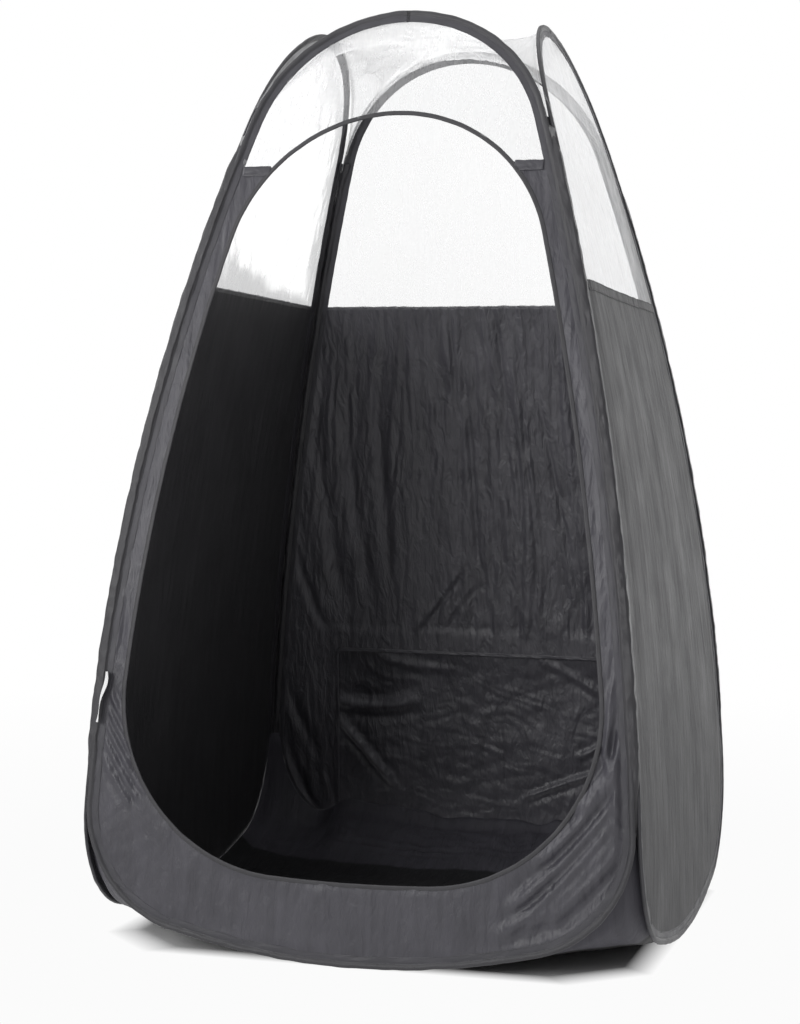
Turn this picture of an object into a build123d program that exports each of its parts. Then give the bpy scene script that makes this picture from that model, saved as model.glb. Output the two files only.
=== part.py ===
"""Pop-up booth tent: four sprung hoops with fabric panels, sewn edge to edge round a square floor.

Millimetres, +Z up, origin on the ground under the middle of the tent, door panel facing -Y.
Every panel is drawn as the front one and turned about Z to its own side.
"""
from build123d import *
import os
from math import asin, atan2, cos, degrees, hypot, sin, sqrt

os.makedirs("parts", exist_ok=True)

# Overall shape: each wall leans inwards along one big arc that is upright at the ground.
LEAN_R = 6320.0         # radius of the walls' lean and of the hoops' long sides
WALL_HALF = 630.0       # tent centre to the middle of a wall's cloth, at the ground
HOOP_HALF = 624.0       # hoop centre line to its outer edge, at the ground
ARCH_START = 1856.0     # height where a hoop's sides run into its top arch
CORNER_R = 270.0        # hoop's bottom corners
BELLY_R = 1650.0        # hoop's bottom edge, which touches the ground only in its middle

# Sleeve and spring steel
BULB = 12.0             # width of the tube that the steel lies in
BULB_HALF = 4.5         # half of the tube's thickness
CLOTH = 1.2             # cloth of the tube
SLEEVE = 28.0           # whole width of the sleeve, tube and seam tape
TAPE_HALF = 1.5         # half of the seam tape's thickness
SLOT_DEPTH = 8.0        # how far the panel reaches in between the tape's two layers
SLOT_HALF = 0.7
STEEL = (2.0, 5.0)      # flat spring steel: in the hoop's plane, and across it
STEEL_INSET = 2.2
FERRULE_LENGTH = 60.0
FERRULE_WALL = 0.6
FIT = 0.05              # ferrule to steel
END_GAP = 1.0           # between the steel's two ends, inside the ferrule

# Panels
WALL_HALF_T = 0.6
FILM_HALF_T = 0.5
WALL_TOP = 1484.0       # film starts here on the left, right and back panels
FRONT_WALL_TOP = 1748.0
BUTT_GAP = 0.2          # between cloth and film where they meet
EDGE_GAP = 0.3          # panel edge to the bottom of its slot, and tapes to the sleeve
SEAM_WIDTH = 24.0
SEAM_SKIN = (0.8, 1.8)  # window seam tape, outside the cloth's middle surface

# Door opening in the front panel
DOOR_HALF = 563.0
DOOR_ARCH_START = 1588.0
DOOR_SILL = 178.0
DOOR_CORNER_R = 380.0
DOOR_SILL_R = 3000.0
BINDING = (4.0, 6.0)    # how far a binding reaches into the opening, and over the cloth
BINDING_HALF = 1.8

# Vent opening low in the back panel, and its flap on the outside
VENT_HALF = 430.0
VENT_BOTTOM = 108.0
VENT_TOP = 565.0
VENT_CORNER_R = 18.0
FLAP_HALF = 462.0
FLAP_BOTTOM = 88.0
FLAP_TOP = 586.0
FLAP_SKIN = (3.2, 4.4)
FLAP_HINGE = (3.8, 587.0)   # outside the wall's middle surface, and height
FLAP_AJAR = 1.8         # degrees that the loose flap stands off the wall
HINGE_TAPE = (588.0, 606.0)
PAD_SPAN = (439.0, 459.0)
PAD_HEIGHTS = (150.0, 210.0)
HOOK_SKIN = (0.7, 1.3)
LOOP_SKIN = (2.0, 3.1)

# Blank tag on the front panel's left sleeve
TAG_INSETS = (1.0, 25.0)
TAG_HEIGHTS = (500.0, 612.0)
TAG_SKIN = (4.9, 5.7)

# Roof film and floor
ROOF_INSET = 14.0       # film below the hoops' outer edge
ROOF_T = 1.0
CORE_GAP = 7.0          # roof and floor edges to the middle of the walls' cloth
FLOOR_LIFT = 3.0
FLOOR_T = 1.2
GUSSET_TOP = 305.0      # foot of the corner seams
BELLY_END = 300.0       # how far out the floor's corners follow the hoops' bottom edges
RISE_PULL = 68.0        # roundness of the floor's corners where they turn up to the seams
FOOT_CLEAR = 2.0        # floor's corner tips to the corner seams

REACH = 800.0           # longer than any half width
SKY = 2300.0            # higher than the tent
CELLAR = -100.0         # lower than the tent

# Ways that the panels turn about Z, from the front one
TURNS = {"front": 0, "right": 90, "back": 180, "left": -90}


def lean(z):
    """How far a wall has come in at height z."""
    return LEAN_R - sqrt(LEAN_R**2 - z**2)


def egg(half, arch_start, sill, corner_r, sill_r, inset=0.0):
    """Upright loop of tangent arcs: sill, corners, leaning sides, top arch; inset makes it smaller."""
    side_x = half - LEAN_R
    arch_angle = asin(arch_start / LEAN_R)
    arch_r = (half - lean(arch_start)) / cos(arch_angle)
    arch_z = arch_start - arch_r * sin(arch_angle)
    sill_z = sill + sill_r
    # Corner centre: where the side and sill arcs, both drawn smaller by the corner radius, cross.
    to_side = LEAN_R - corner_r
    to_sill = sill_r - corner_r
    span = hypot(side_x, sill_z)
    along = (to_side**2 - to_sill**2 + span**2) / (2 * span)
    across = sqrt(to_side**2 - along**2)
    dir_x = -side_x / span
    dir_z = sill_z / span
    corner_x = side_x + along * dir_x + across * dir_z
    corner_z = along * dir_z - across * dir_x
    low = degrees(atan2(corner_z - sill_z, corner_x))
    high = degrees(atan2(corner_z, corner_x - side_x))
    top = degrees(arch_angle)
    edges = [
        CenterArc((0, sill_z), sill_r - inset, -180 - low, 180 + 2 * low),
        CenterArc((corner_x, corner_z), corner_r - inset, low, high - low),
        CenterArc((side_x, 0), LEAN_R - inset, high, top - high),
        CenterArc((0, arch_z), arch_r - inset, top, 180 - 2 * top),
        CenterArc((-side_x, 0), LEAN_R - inset, 180 - top, top - high),
        CenterArc((-corner_x, corner_z), corner_r - inset, 180 - high, high - low),
    ]
    return Face(Wire(edges))


def hoop(inset=0.0):
    """Face inside a hoop, its edge moved in by inset."""
    return egg(HOOP_HALF, ARCH_START, 0.0, CORNER_R, BELLY_R, inset)


def door(inset=0.0):
    """Face of the door opening, its edge moved in by inset."""
    return egg(DOOR_HALF, DOOR_ARCH_START, DOOR_SILL, DOOR_CORNER_R, DOOR_SILL_R, inset)


def block(low, high):
    """Rectangle from one corner to the other, in a panel's own plane."""
    width = high[0] - low[0]
    height = high[1] - low[1]
    centre = ((low[0] + high[0]) / 2, (low[1] + high[1]) / 2)
    return Pos(*centre) * Rectangle(width, height)


def vent(inset=0.0):
    """Face of the vent opening, its edge moved in by inset."""
    width = 2 * (VENT_HALF - inset)
    height = VENT_TOP - VENT_BOTTOM - 2 * inset
    return Pos(0, (VENT_TOP + VENT_BOTTOM) / 2) * RectangleRounded(width, height, VENT_CORNER_R - inset)


def skin(inner, outer):
    """Curved layer of the front wall, between two distances outside its cloth's middle surface."""
    centre = Pos(LEAN_R - WALL_HALF, 0)
    ring = centre * Circle(LEAN_R + outer) - centre * Circle(LEAN_R + inner)
    front_side = block((-REACH, CELLAR), (0, SKY))
    section = ring & front_side
    return extrude(Plane.YZ * section, amount=REACH, both=True)


def layer(face, inner, outer):
    """Part of the front wall inside a flat outline, between two distances from its middle surface."""
    return extrude(Plane.XZ * face, amount=REACH) & skin(inner, outer)


def hoop_sleeve():
    """Tube round the spring steel, and the two-layer seam tape that holds the panel's edge."""
    tube = layer(hoop() - hoop(BULB), -BULB_HALF, BULB_HALF)
    tape = layer(hoop(BULB - CLOTH / 2) - hoop(SLEEVE), -TAPE_HALF, TAPE_HALF)
    bore_half = BULB_HALF - CLOTH
    bore = layer(hoop(CLOTH) - hoop(BULB - CLOTH), -bore_half, bore_half)
    slot = layer(hoop(SLEEVE - SLOT_DEPTH) - hoop(SLEEVE + 1), -SLOT_HALF, SLOT_HALF)
    return tube + tape - bore - slot


def steel_band(grow=0.0):
    """Closed loop of flat spring steel, with a skin of the given thickness added."""
    outline = hoop(STEEL_INSET - grow) - hoop(STEEL_INSET + STEEL[0] + grow)
    return layer(outline, -STEEL[1] / 2 - grow, STEEL[1] / 2 + grow)


def foot_block(width):
    """Block of the given width round the middle of a hoop's bottom edge."""
    return Box(width, 4 * REACH, -CELLAR)


def hoop_wire():
    """Spring steel cut through where its two ends meet, at the bottom."""
    return steel_band() - foot_block(END_GAP)


def hoop_ferrule():
    """Crimped tube that joins the spring steel's ends."""
    tube = steel_band(FIT + FERRULE_WALL) - steel_band(FIT)
    return tube & foot_block(FERRULE_LENGTH)


def panel_face():
    """Everything that fits inside the sleeve's seam tape."""
    return hoop(SLEEVE - SLOT_DEPTH + EDGE_GAP)


def below(height):
    """Part of a panel's plane below a height."""
    return block((-REACH, -REACH), (REACH, height - BUTT_GAP / 2))


def above(height):
    """Part of a panel's plane above a height."""
    return block((-REACH, height + BUTT_GAP / 2), (REACH, SKY))


def seam_face(height):
    """Strip across a panel over the seam of its cloth and film, clear of the sleeve."""
    strip = block((-REACH, height - SEAM_WIDTH / 2), (REACH, height + SEAM_WIDTH / 2))
    return hoop(SLEEVE + EDGE_GAP) & strip


def binding(opening):
    """Bias binding folded over the edge of an opening, with a slot for the cloth."""
    inside, over = BINDING
    strip = layer(opening(-over) - opening(inside), -BINDING_HALF, BINDING_HALF)
    slot = layer(opening(-over - 1) - opening(0), -SLOT_HALF, SLOT_HALF)
    return strip - slot


def half_of(face, side):
    """Left (-1) or right (+1) half of a face."""
    low_x, high_x = (-REACH, 0) if side < 0 else (0, REACH)
    return face & block((low_x, -REACH), (high_x, SKY))


def sleeve_parts(name):
    """Sleeve, steel and ferrule of one hoop."""
    return {
        f"{name}_hoop_sleeve": hoop_sleeve(),
        f"{name}_hoop_wire": hoop_wire(),
        f"{name}_hoop_ferrule": hoop_ferrule(),
    }


def plain_panel(name):
    """Side panel: cloth below, film above, taped where they meet."""
    parts = sleeve_parts(name)
    parts[f"{name}_wall"] = layer(panel_face() & below(WALL_TOP), -WALL_HALF_T, WALL_HALF_T)
    parts[f"{name}_window_film"] = layer(panel_face() & above(WALL_TOP), -FILM_HALF_T, FILM_HALF_T)
    parts[f"{name}_window_seam"] = layer(seam_face(WALL_TOP), *SEAM_SKIN)
    return parts


def front_panel():
    """Door panel: a frame of cloth and film round the big opening."""
    parts = sleeve_parts("front")
    frame = panel_face() - door(-BUTT_GAP)
    cloth = frame & below(FRONT_WALL_TOP)
    film = frame & above(FRONT_WALL_TOP)
    parts["front_wall"] = layer(cloth, -WALL_HALF_T, WALL_HALF_T)
    parts["front_window_film"] = layer(film, -FILM_HALF_T, FILM_HALF_T)
    seam = seam_face(FRONT_WALL_TOP) - door(-BINDING[1] - EDGE_GAP)
    parts["front_window_seam_left"] = layer(half_of(seam, -1), *SEAM_SKIN)
    parts["front_window_seam_right"] = layer(half_of(seam, 1), *SEAM_SKIN)
    parts["door_binding"] = binding(door)
    tag = hoop(TAG_INSETS[0]) - hoop(TAG_INSETS[1])
    tag = half_of(tag, -1) & block((-REACH, TAG_HEIGHTS[0]), (REACH, TAG_HEIGHTS[1]))
    parts["blank_tag"] = layer(tag, *TAG_SKIN)
    return parts


def pad_face(side):
    """Fastening patch beside the vent opening, left (-1) or right (+1)."""
    xs = sorted(side * x for x in PAD_SPAN)
    return block((xs[0], PAD_HEIGHTS[0]), (xs[1], PAD_HEIGHTS[1]))


def back_panel():
    """Side panel with the vent opening, its binding, hinge tape and hook patches."""
    parts = plain_panel("back")
    cloth = (panel_face() & below(WALL_TOP)) - vent(-BUTT_GAP)
    parts["back_wall"] = layer(cloth, -WALL_HALF_T, WALL_HALF_T)
    parts["vent_binding"] = binding(vent)
    tape = block((-FLAP_HALF, HINGE_TAPE[0]), (FLAP_HALF, HINGE_TAPE[1]))
    parts["vent_hinge_tape"] = layer(tape, *SEAM_SKIN)
    parts["vent_hook_pad_left"] = layer(pad_face(-1), *HOOK_SKIN)
    parts["vent_hook_pad_right"] = layer(pad_face(1), *HOOK_SKIN)
    return parts


def vent_flap():
    """Flap over the vent opening, with its loop patches on the inside, hanging a little ajar."""
    cloth = block((-FLAP_HALF, FLAP_BOTTOM), (FLAP_HALF, FLAP_TOP))
    flat = {
        "vent_flap_cloth": layer(cloth, *FLAP_SKIN),
        "vent_flap_loop_pad_left": layer(pad_face(-1), *LOOP_SKIN),
        "vent_flap_loop_pad_right": layer(pad_face(1), *LOOP_SKIN),
    }
    hinge_y = -(WALL_HALF - lean(FLAP_HINGE[1]) + FLAP_HINGE[0])
    swing = Pos(0, hinge_y, FLAP_HINGE[1]) * Rot(-FLAP_AJAR, 0, 0) * Pos(0, -hinge_y, -FLAP_HINGE[1])
    return {name: swing * shape for name, shape in flat.items()}


def core():
    """Space inside the four leaning walls, a little clear of their cloth."""
    shift = LEAN_R - (WALL_HALF - CORE_GAP)
    lens = Pos(shift, 0) * Circle(LEAN_R) & Pos(-shift, 0) * Circle(LEAN_R)
    lens = lens & block((-REACH, CELLAR), (REACH, SKY))
    slab = extrude(Plane.XZ * lens, amount=REACH, both=True)
    return slab & Rot(0, 0, 90) * slab


def roof_film():
    """Film stretched over the four arches: two crossing vaults, joined along the diagonals."""
    arch_angle = asin(ARCH_START / LEAN_R)
    arch_r = (HOOP_HALF - lean(ARCH_START)) / cos(arch_angle)
    arch_z = ARCH_START - arch_r * sin(arch_angle)

    def vaults(radius):
        face = Pos(0, arch_z) * Circle(radius) & block((-REACH, ARCH_START), (REACH, SKY))
        vault = extrude(Plane.XZ * face, amount=REACH, both=True)
        return vault + Rot(0, 0, 90) * vault

    outer = arch_r - ROOF_INSET
    return (vaults(outer) - vaults(outer - ROOF_T)) & core()


def floor_sheet():
    """Floor cloth: flat in the middle, rising at the corners to the foot of each corner seam."""
    flat_reach = WALL_HALF / sqrt(2)
    # Seen along a diagonal, a hoop's bottom edge curves up twice as sharply.
    belly = BELLY_R / 2
    swing = asin(BELLY_END / belly)
    knee = (flat_reach + BELLY_END, FLOOR_LIFT + belly * (1 - cos(swing)))
    seam_reach = sqrt(2) * (WALL_HALF - CORE_GAP - lean(GUSSET_TOP)) - FOOT_CLEAR
    foot = (seam_reach, GUSSET_TOP)
    lift = (knee[0] + RISE_PULL * cos(swing), knee[1] + RISE_PULL * sin(swing))
    drop = (foot[0], foot[1] - 2 * RISE_PULL)
    up = (-FLOOR_T, FLOOR_T / 2)

    def raised(point):
        return (point[0] + up[0], point[1] + up[1])

    start = (flat_reach, FLOOR_LIFT)
    start_top = (flat_reach, FLOOR_LIFT + FLOOR_T)
    centre = (flat_reach, FLOOR_LIFT + belly)
    under = CenterArc(centre, belly, -90, degrees(swing))
    over = CenterArc(centre, belly - FLOOR_T, -90, degrees(swing))
    rise = Bezier(under @ 1, lift, drop, foot)
    rise_top = Bezier(over @ 1, raised(lift), raised(drop), raised(foot))
    profile = Face(Wire([
        under,
        rise,
        Line(foot, raised(foot)),
        rise_top,
        over,
        Line(start_top, start),
    ]))
    corner = extrude(Plane.XZ * profile, amount=2 * REACH, both=True)
    middle = Rot(0, 0, 45) * Box(2 * flat_reach, 2 * flat_reach, FLOOR_T)
    sheet = Pos(0, 0, FLOOR_LIFT + FLOOR_T / 2) * middle
    for turn in (45, 135, 225, 315):
        sheet = sheet + Rot(0, 0, turn) * corner
    return sheet & core()


def save(parts, turn=0):
    """Write each part to its own file, turned about Z to its side of the tent."""
    for name, shape in parts.items():
        solids = (Rot(0, 0, turn) * shape).solids()
        export_step(solids[0] if len(solids) == 1 else Compound(solids), f"parts/{name}.step")
        print(name, len(solids), round(sum(s.volume for s in solids)))


save(front_panel(), TURNS["front"])
save(plain_panel("right"), TURNS["right"])
save(plain_panel("left"), TURNS["left"])
save(back_panel(), TURNS["back"])
save(vent_flap(), TURNS["back"])
save({"roof_film": roof_film(), "floor_sheet": floor_sheet()})
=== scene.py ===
"""Looks of the pop-up booth tent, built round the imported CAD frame. Metres, +Z up, door panel facing -Y."""

from math import asin, atan2, cos, hypot, pi, radians, sin, sqrt

import bmesh
import bpy
import numpy as np
from mathutils import Matrix, Vector


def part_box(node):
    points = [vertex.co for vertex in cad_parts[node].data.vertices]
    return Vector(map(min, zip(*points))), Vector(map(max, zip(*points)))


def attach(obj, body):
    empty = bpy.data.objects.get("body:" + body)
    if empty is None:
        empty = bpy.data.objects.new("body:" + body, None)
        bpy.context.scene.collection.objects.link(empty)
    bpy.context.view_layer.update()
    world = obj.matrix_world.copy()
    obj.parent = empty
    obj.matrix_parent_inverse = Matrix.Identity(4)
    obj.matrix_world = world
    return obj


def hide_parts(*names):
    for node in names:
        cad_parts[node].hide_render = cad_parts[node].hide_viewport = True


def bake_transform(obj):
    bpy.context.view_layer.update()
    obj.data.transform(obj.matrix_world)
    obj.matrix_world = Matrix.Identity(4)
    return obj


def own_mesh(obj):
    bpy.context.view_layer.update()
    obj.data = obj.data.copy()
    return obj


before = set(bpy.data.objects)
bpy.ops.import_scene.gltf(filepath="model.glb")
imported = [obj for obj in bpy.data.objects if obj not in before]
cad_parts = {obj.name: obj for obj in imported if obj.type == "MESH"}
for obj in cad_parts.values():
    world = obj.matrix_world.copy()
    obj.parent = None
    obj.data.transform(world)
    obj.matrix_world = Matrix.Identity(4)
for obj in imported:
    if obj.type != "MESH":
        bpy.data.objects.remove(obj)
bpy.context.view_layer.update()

# The tent's curved shapes, in metres, as the CAD draws them.
LEAN_R = 6.320
WALL_HALF = 0.630
HOOP_HALF = 0.624
ARCH_START = 1.856
CORNER_R = 0.270
BELLY_R = 1.650
DOOR_HALF = 0.563
DOOR_ARCH_START = 1.588
DOOR_SILL = 0.178
DOOR_CORNER_R = 0.380
DOOR_SILL_R = 3.000
SLEEVE = 0.028
EDGE_INSET = 0.0205
CORE_GAP = 0.007
GUSSET_TOP = 0.305
ROOF_INSET = 0.0145
VENT_CORNER_R = 0.018
FLAP_HALF = 0.462
FLAP_LOW = 0.0890
FLAP_AJAR = radians(1.8)
HINGE_Z = 0.587
HINGE_TAPE_Z = 0.597

# Sizes and steps of the drawing alone. STRIP_INNER is where the corner strips end on the sleeves.
CLOTH_THICKNESS = 0.0005
STRIP_INNER = 0.614
ARC_STEPS = 399
SLEEVE_STEPS = 620

WALL_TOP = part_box("left_wall")[1].z
FRONT_WALL_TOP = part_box("front_wall")[1].z
VENT_LOW, VENT_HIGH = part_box("vent_binding")
BINDING_REACH = 0.006
VENT_HALF = (VENT_HIGH.x - VENT_LOW.x) / 2 - BINDING_REACH
VENT_BOTTOM = VENT_LOW.z + BINDING_REACH
VENT_TOP = VENT_HIGH.z - BINDING_REACH

TURNS = {"front": 0.0, "right": pi / 2, "back": pi, "left": -pi / 2}
BODY = {name: name + "_panel" for name in TURNS}


# -------- smooth noise

def hashed(ix, iy, seed):
    n = (ix * 374761393 + iy * 668265263 + seed * 144269504) & 0xFFFFFFFF
    n = ((n ^ (n >> 13)) * 1274126177) & 0xFFFFFFFF
    n = ((n ^ (n >> 16)) * 2246822519) & 0xFFFFFFFF
    return ((n ^ (n >> 15)) & 0xFFFFFF) / float(0xFFFFFF)


def noise(x, y, seed=0):
    """Gradient noise from about -1 to 1, one feature per unit."""
    x, y = np.broadcast_arrays(np.asarray(x, float), np.asarray(y, float))
    ix, iy = np.floor(x).astype(np.int64), np.floor(y).astype(np.int64)
    fx, fy = x - ix, y - iy
    wx = fx ** 3 * (fx * (fx * 6 - 15) + 10)
    wy = fy ** 3 * (fy * (fy * 6 - 15) + 10)

    def corner(dx, dy):
        angle = hashed(ix + dx, iy + dy, seed) * 2 * pi
        return np.cos(angle) * (fx - dx) + np.sin(angle) * (fy - dy)

    low = corner(0, 0) * (1 - wx) + corner(1, 0) * wx
    high = corner(0, 1) * (1 - wx) + corner(1, 1) * wx
    return 1.6 * (low * (1 - wy) + high * wy)


def fbm(x, y, seed=0, octaves=2):
    """Noise with finer noise on top."""
    total, size = 0.0, 1.0
    for k in range(octaves):
        total = total + size * noise(x * 2 ** k, y * 2 ** k, seed + 17 * k)
        size *= 0.5
    return total


def ridges(x, y, seed=0):
    """Sharp-topped folds with round valleys, about -1 to 1."""
    return 1 - 2.2 * np.sqrt(noise(x, y, seed) ** 2 + 0.01)


def ease(x, low, high):
    """0 up to low, 1 from high on, smooth between."""
    t = np.clip((np.asarray(x, float) - low) / (high - low), 0, 1)
    return t * t * (3 - 2 * t)


# -------- curves and panels

def lean(z):
    """How far a panel has leaned in at a height."""
    return LEAN_R - np.sqrt(LEAN_R ** 2 - np.asarray(z, float) ** 2)


class Outline:
    """Right half of an upright loop of tangent arcs, from the middle of its foot to its apex."""

    def __init__(self, half, arch_start, sill, corner_r, sill_r, inset=0.0):
        side_x = half - LEAN_R
        arch_angle = asin(arch_start / LEAN_R)
        arch_r = (half - float(lean(arch_start))) / cos(arch_angle)
        arch_z = arch_start - arch_r * sin(arch_angle)
        sill_z = sill + sill_r
        to_side, to_sill = LEAN_R - corner_r, sill_r - corner_r
        span = hypot(side_x, sill_z)
        along = (to_side ** 2 - to_sill ** 2 + span ** 2) / (2 * span)
        across = sqrt(to_side ** 2 - along ** 2)
        dx, dz = -side_x / span, sill_z / span
        cx, cz = side_x + along * dx + across * dz, along * dz - across * dx
        low, high = atan2(cz - sill_z, cx), atan2(cz, cx - side_x)
        arcs = [
            (0.0, sill_z, sill_r, -pi / 2, low),
            (cx, cz, corner_r, low, high),
            (side_x, 0.0, LEAN_R, high, arch_angle),
            (0.0, arch_z, arch_r, arch_angle, pi / 2),
        ]
        points, normals = [], []
        for x, z, r, a0, a1 in arcs:
            a = np.linspace(a0, a1, ARC_STEPS, endpoint=False)
            ray = np.stack([np.cos(a), np.sin(a)], 1)
            points.append(np.array([x, z]) + (r - inset) * ray)
            normals.append(-ray)
        points.append([[0.0, arch_z + arch_r - inset]])
        normals.append([[0.0, -1.0]])
        self.p, self.n = np.vstack(points), np.vstack(normals)
        self.s = run_length(self.p)
        self.length = self.s[-1]
        self.corner_s = float(self.s[ARC_STEPS] + self.s[2 * ARC_STEPS]) / 2
        self.arch_r, self.arch_z = arch_r, arch_z
        self.widest = int(np.argmax(self.p[:, 0]))

    def read(self, values, s):
        """Values at arc lengths from the foot's middle; a negative one is on the left."""
        both = read_along(np.abs(s), self.s, values)
        both[..., 0] *= np.where(s < 0, -1, 1)
        return both

    def at(self, s):
        return self.read(self.p, s)

    def inward(self, s):
        return self.read(self.n, s)

    def loop(self, count, endpoint=False):
        """Arc lengths round the whole loop, left apex to right apex by way of the foot."""
        return np.linspace(-self.length, self.length, count, endpoint=endpoint)

    def s_at_height(self, z):
        """Arc length where the side or arch passes a height."""
        return np.interp(z, self.p[self.widest:, 1], self.s[self.widest:])

    def half_width(self, z):
        return np.interp(z, self.p[self.widest:, 1], self.p[self.widest:, 0])

    def foot(self, u):
        return np.interp(np.abs(u), self.p[:self.widest, 0], self.p[:self.widest, 1])


def run_length(points):
    """Distance along a line of points, from its first one."""
    return np.concatenate([[0], np.cumsum(np.linalg.norm(np.diff(points, axis=0), axis=1))])


def read_along(lengths, s, values):
    """Rows of values, read at lengths along a line whose rows stand at s."""
    return np.stack([np.interp(lengths, s, column) for column in values.T], -1)


def hoop_outline(inset=0.0):
    return Outline(HOOP_HALF, ARCH_START, 0.0, CORNER_R, BELLY_R, inset)


HOOP = hoop_outline()
EDGE = hoop_outline(EDGE_INSET)
DOOR = Outline(DOOR_HALF, DOOR_ARCH_START, DOOR_SILL, DOOR_CORNER_R, DOOR_SILL_R)


def place(side, u, z, n):
    """Points of a panel: across it, up it, and outwards from its cloth's middle surface."""
    u, z, n = np.broadcast_arrays(np.asarray(u, float), np.asarray(z, float), np.asarray(n, float))
    tilt = np.arcsin(z / LEAN_R)
    y = (LEAN_R - WALL_HALF) - (LEAN_R + n) * np.cos(tilt)
    height = z + n * np.sin(tilt)
    c, s = cos(TURNS[side]), sin(TURNS[side])
    return np.stack([u * c - y * s, u * s + y * c, height], -1).reshape(-1, 3)


def coons(bottom, top, left, right):
    """Grid of points inside four edge curves that share their corners, in rows from the bottom up."""
    a = np.linspace(0, 1, len(bottom))[None, :, None]
    b = np.linspace(0, 1, len(left))[:, None, None]
    ruled = (1 - b) * bottom[None] + b * top[None] + (1 - a) * left[:, None] + a * right[:, None]
    corners = (
        (1 - a) * (1 - b) * bottom[0] + a * (1 - b) * bottom[-1] + (1 - a) * b * top[0] + a * b * top[-1]
    )
    return ruled - corners


def between(inner, outer, columns):
    """Grid of points in rows that run from one edge to another."""
    across = np.linspace(0, 1, columns)[None, :, None]
    return inner[:, None] * (1 - across) + outer[:, None] * across


def grid_faces(rows, columns, wrap=False, first=0):
    """Quads of a grid of points in rows; wrap joins the last row to the first."""
    r = np.arange(rows if wrap else rows - 1)[:, None]
    c = np.arange(columns - 1)[None, :]
    a = r * columns + c
    b = ((r + 1) % rows) * columns + c
    return np.stack([a, a + 1, b + 1, b], -1).reshape(-1, 4) + first


# -------- meshes

def build(name, points, faces, uv, look):
    """An object from points, faces and flat cloth coordinates in metres."""
    mesh = bpy.data.meshes.new(name)
    mesh.from_pydata(np.asarray(points, float).tolist(), [], np.asarray(faces).tolist())
    mesh.polygons.foreach_set("use_smooth", np.ones(len(mesh.polygons), bool))
    index = np.zeros(len(mesh.loops), np.int32)
    mesh.loops.foreach_get("vertex_index", index)
    layer = mesh.uv_layers.new(name="cloth")
    layer.data.foreach_set("uv", np.asarray(uv, np.float32)[index].ravel())
    mesh.materials.append(MATERIALS[look])
    mesh.update()
    obj = bpy.data.objects.new(name, mesh)
    bpy.context.scene.collection.objects.link(obj)
    return obj


def edit_mesh(obj, change):
    work = bmesh.new()
    work.from_mesh(obj.data)
    change(work)
    work.to_mesh(obj.data)
    work.free()
    obj.data.update()


def merge(obj, distance=0.0002):
    """Welds points that lie together."""
    edit_mesh(obj, lambda work: bmesh.ops.remove_doubles(work, verts=work.verts, dist=distance))


def cap_ends(obj, most_sides):
    """Closes the two open ends of a tube."""
    def fill(work):
        rims = [e for e in work.edges if e.is_boundary]
        bmesh.ops.holes_fill(work, edges=rims, sides=most_sides)
    edit_mesh(obj, fill)


def thicken(obj, thickness=CLOTH_THICKNESS):
    solid = obj.modifiers.new("thickness", "SOLIDIFY")
    solid.thickness = thickness
    solid.offset = 0.0
    solid.use_even_offset = False


def finish_piece(obj, body, slot, *nodes):
    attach(obj, body)
    if nodes:
        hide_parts(*nodes)


def lofted(name, points, around, along, closed, look):
    """Tube through rings of points. around and along are its flat lengths; a closed one has no ends."""
    rings = points.reshape(len(along), len(around), 3)
    uv = np.stack(np.broadcast_arrays(around[None], along[:, None]), -1)
    rings, uv = np.concatenate([rings, rings[:, :1]], 1), np.concatenate([uv, uv[:, :1]], 1)
    faces = grid_faces(*rings.shape[:2], closed)
    obj = build(name, rings.reshape(-1, 3), faces, uv.reshape(-1, 2), look)
    merge(obj, 1e-6)
    if not closed:
        cap_ends(obj, len(around) + 2)
    return obj


def mirrored_section(upper):
    """Closed section from its outer half: distances in from an edge, and outwards."""
    upper = np.array(upper)
    return np.vstack([upper, upper[-2:0:-1] * [1, -1]])


def swept(side, path, inward, section_in, section_out):
    """Points of a section carried along a path on a panel."""
    at = path[:, None] + inward[:, None] * section_in[..., None]
    return place(side, at[..., 0], at[..., 1], section_out)


# -------- materials

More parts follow.
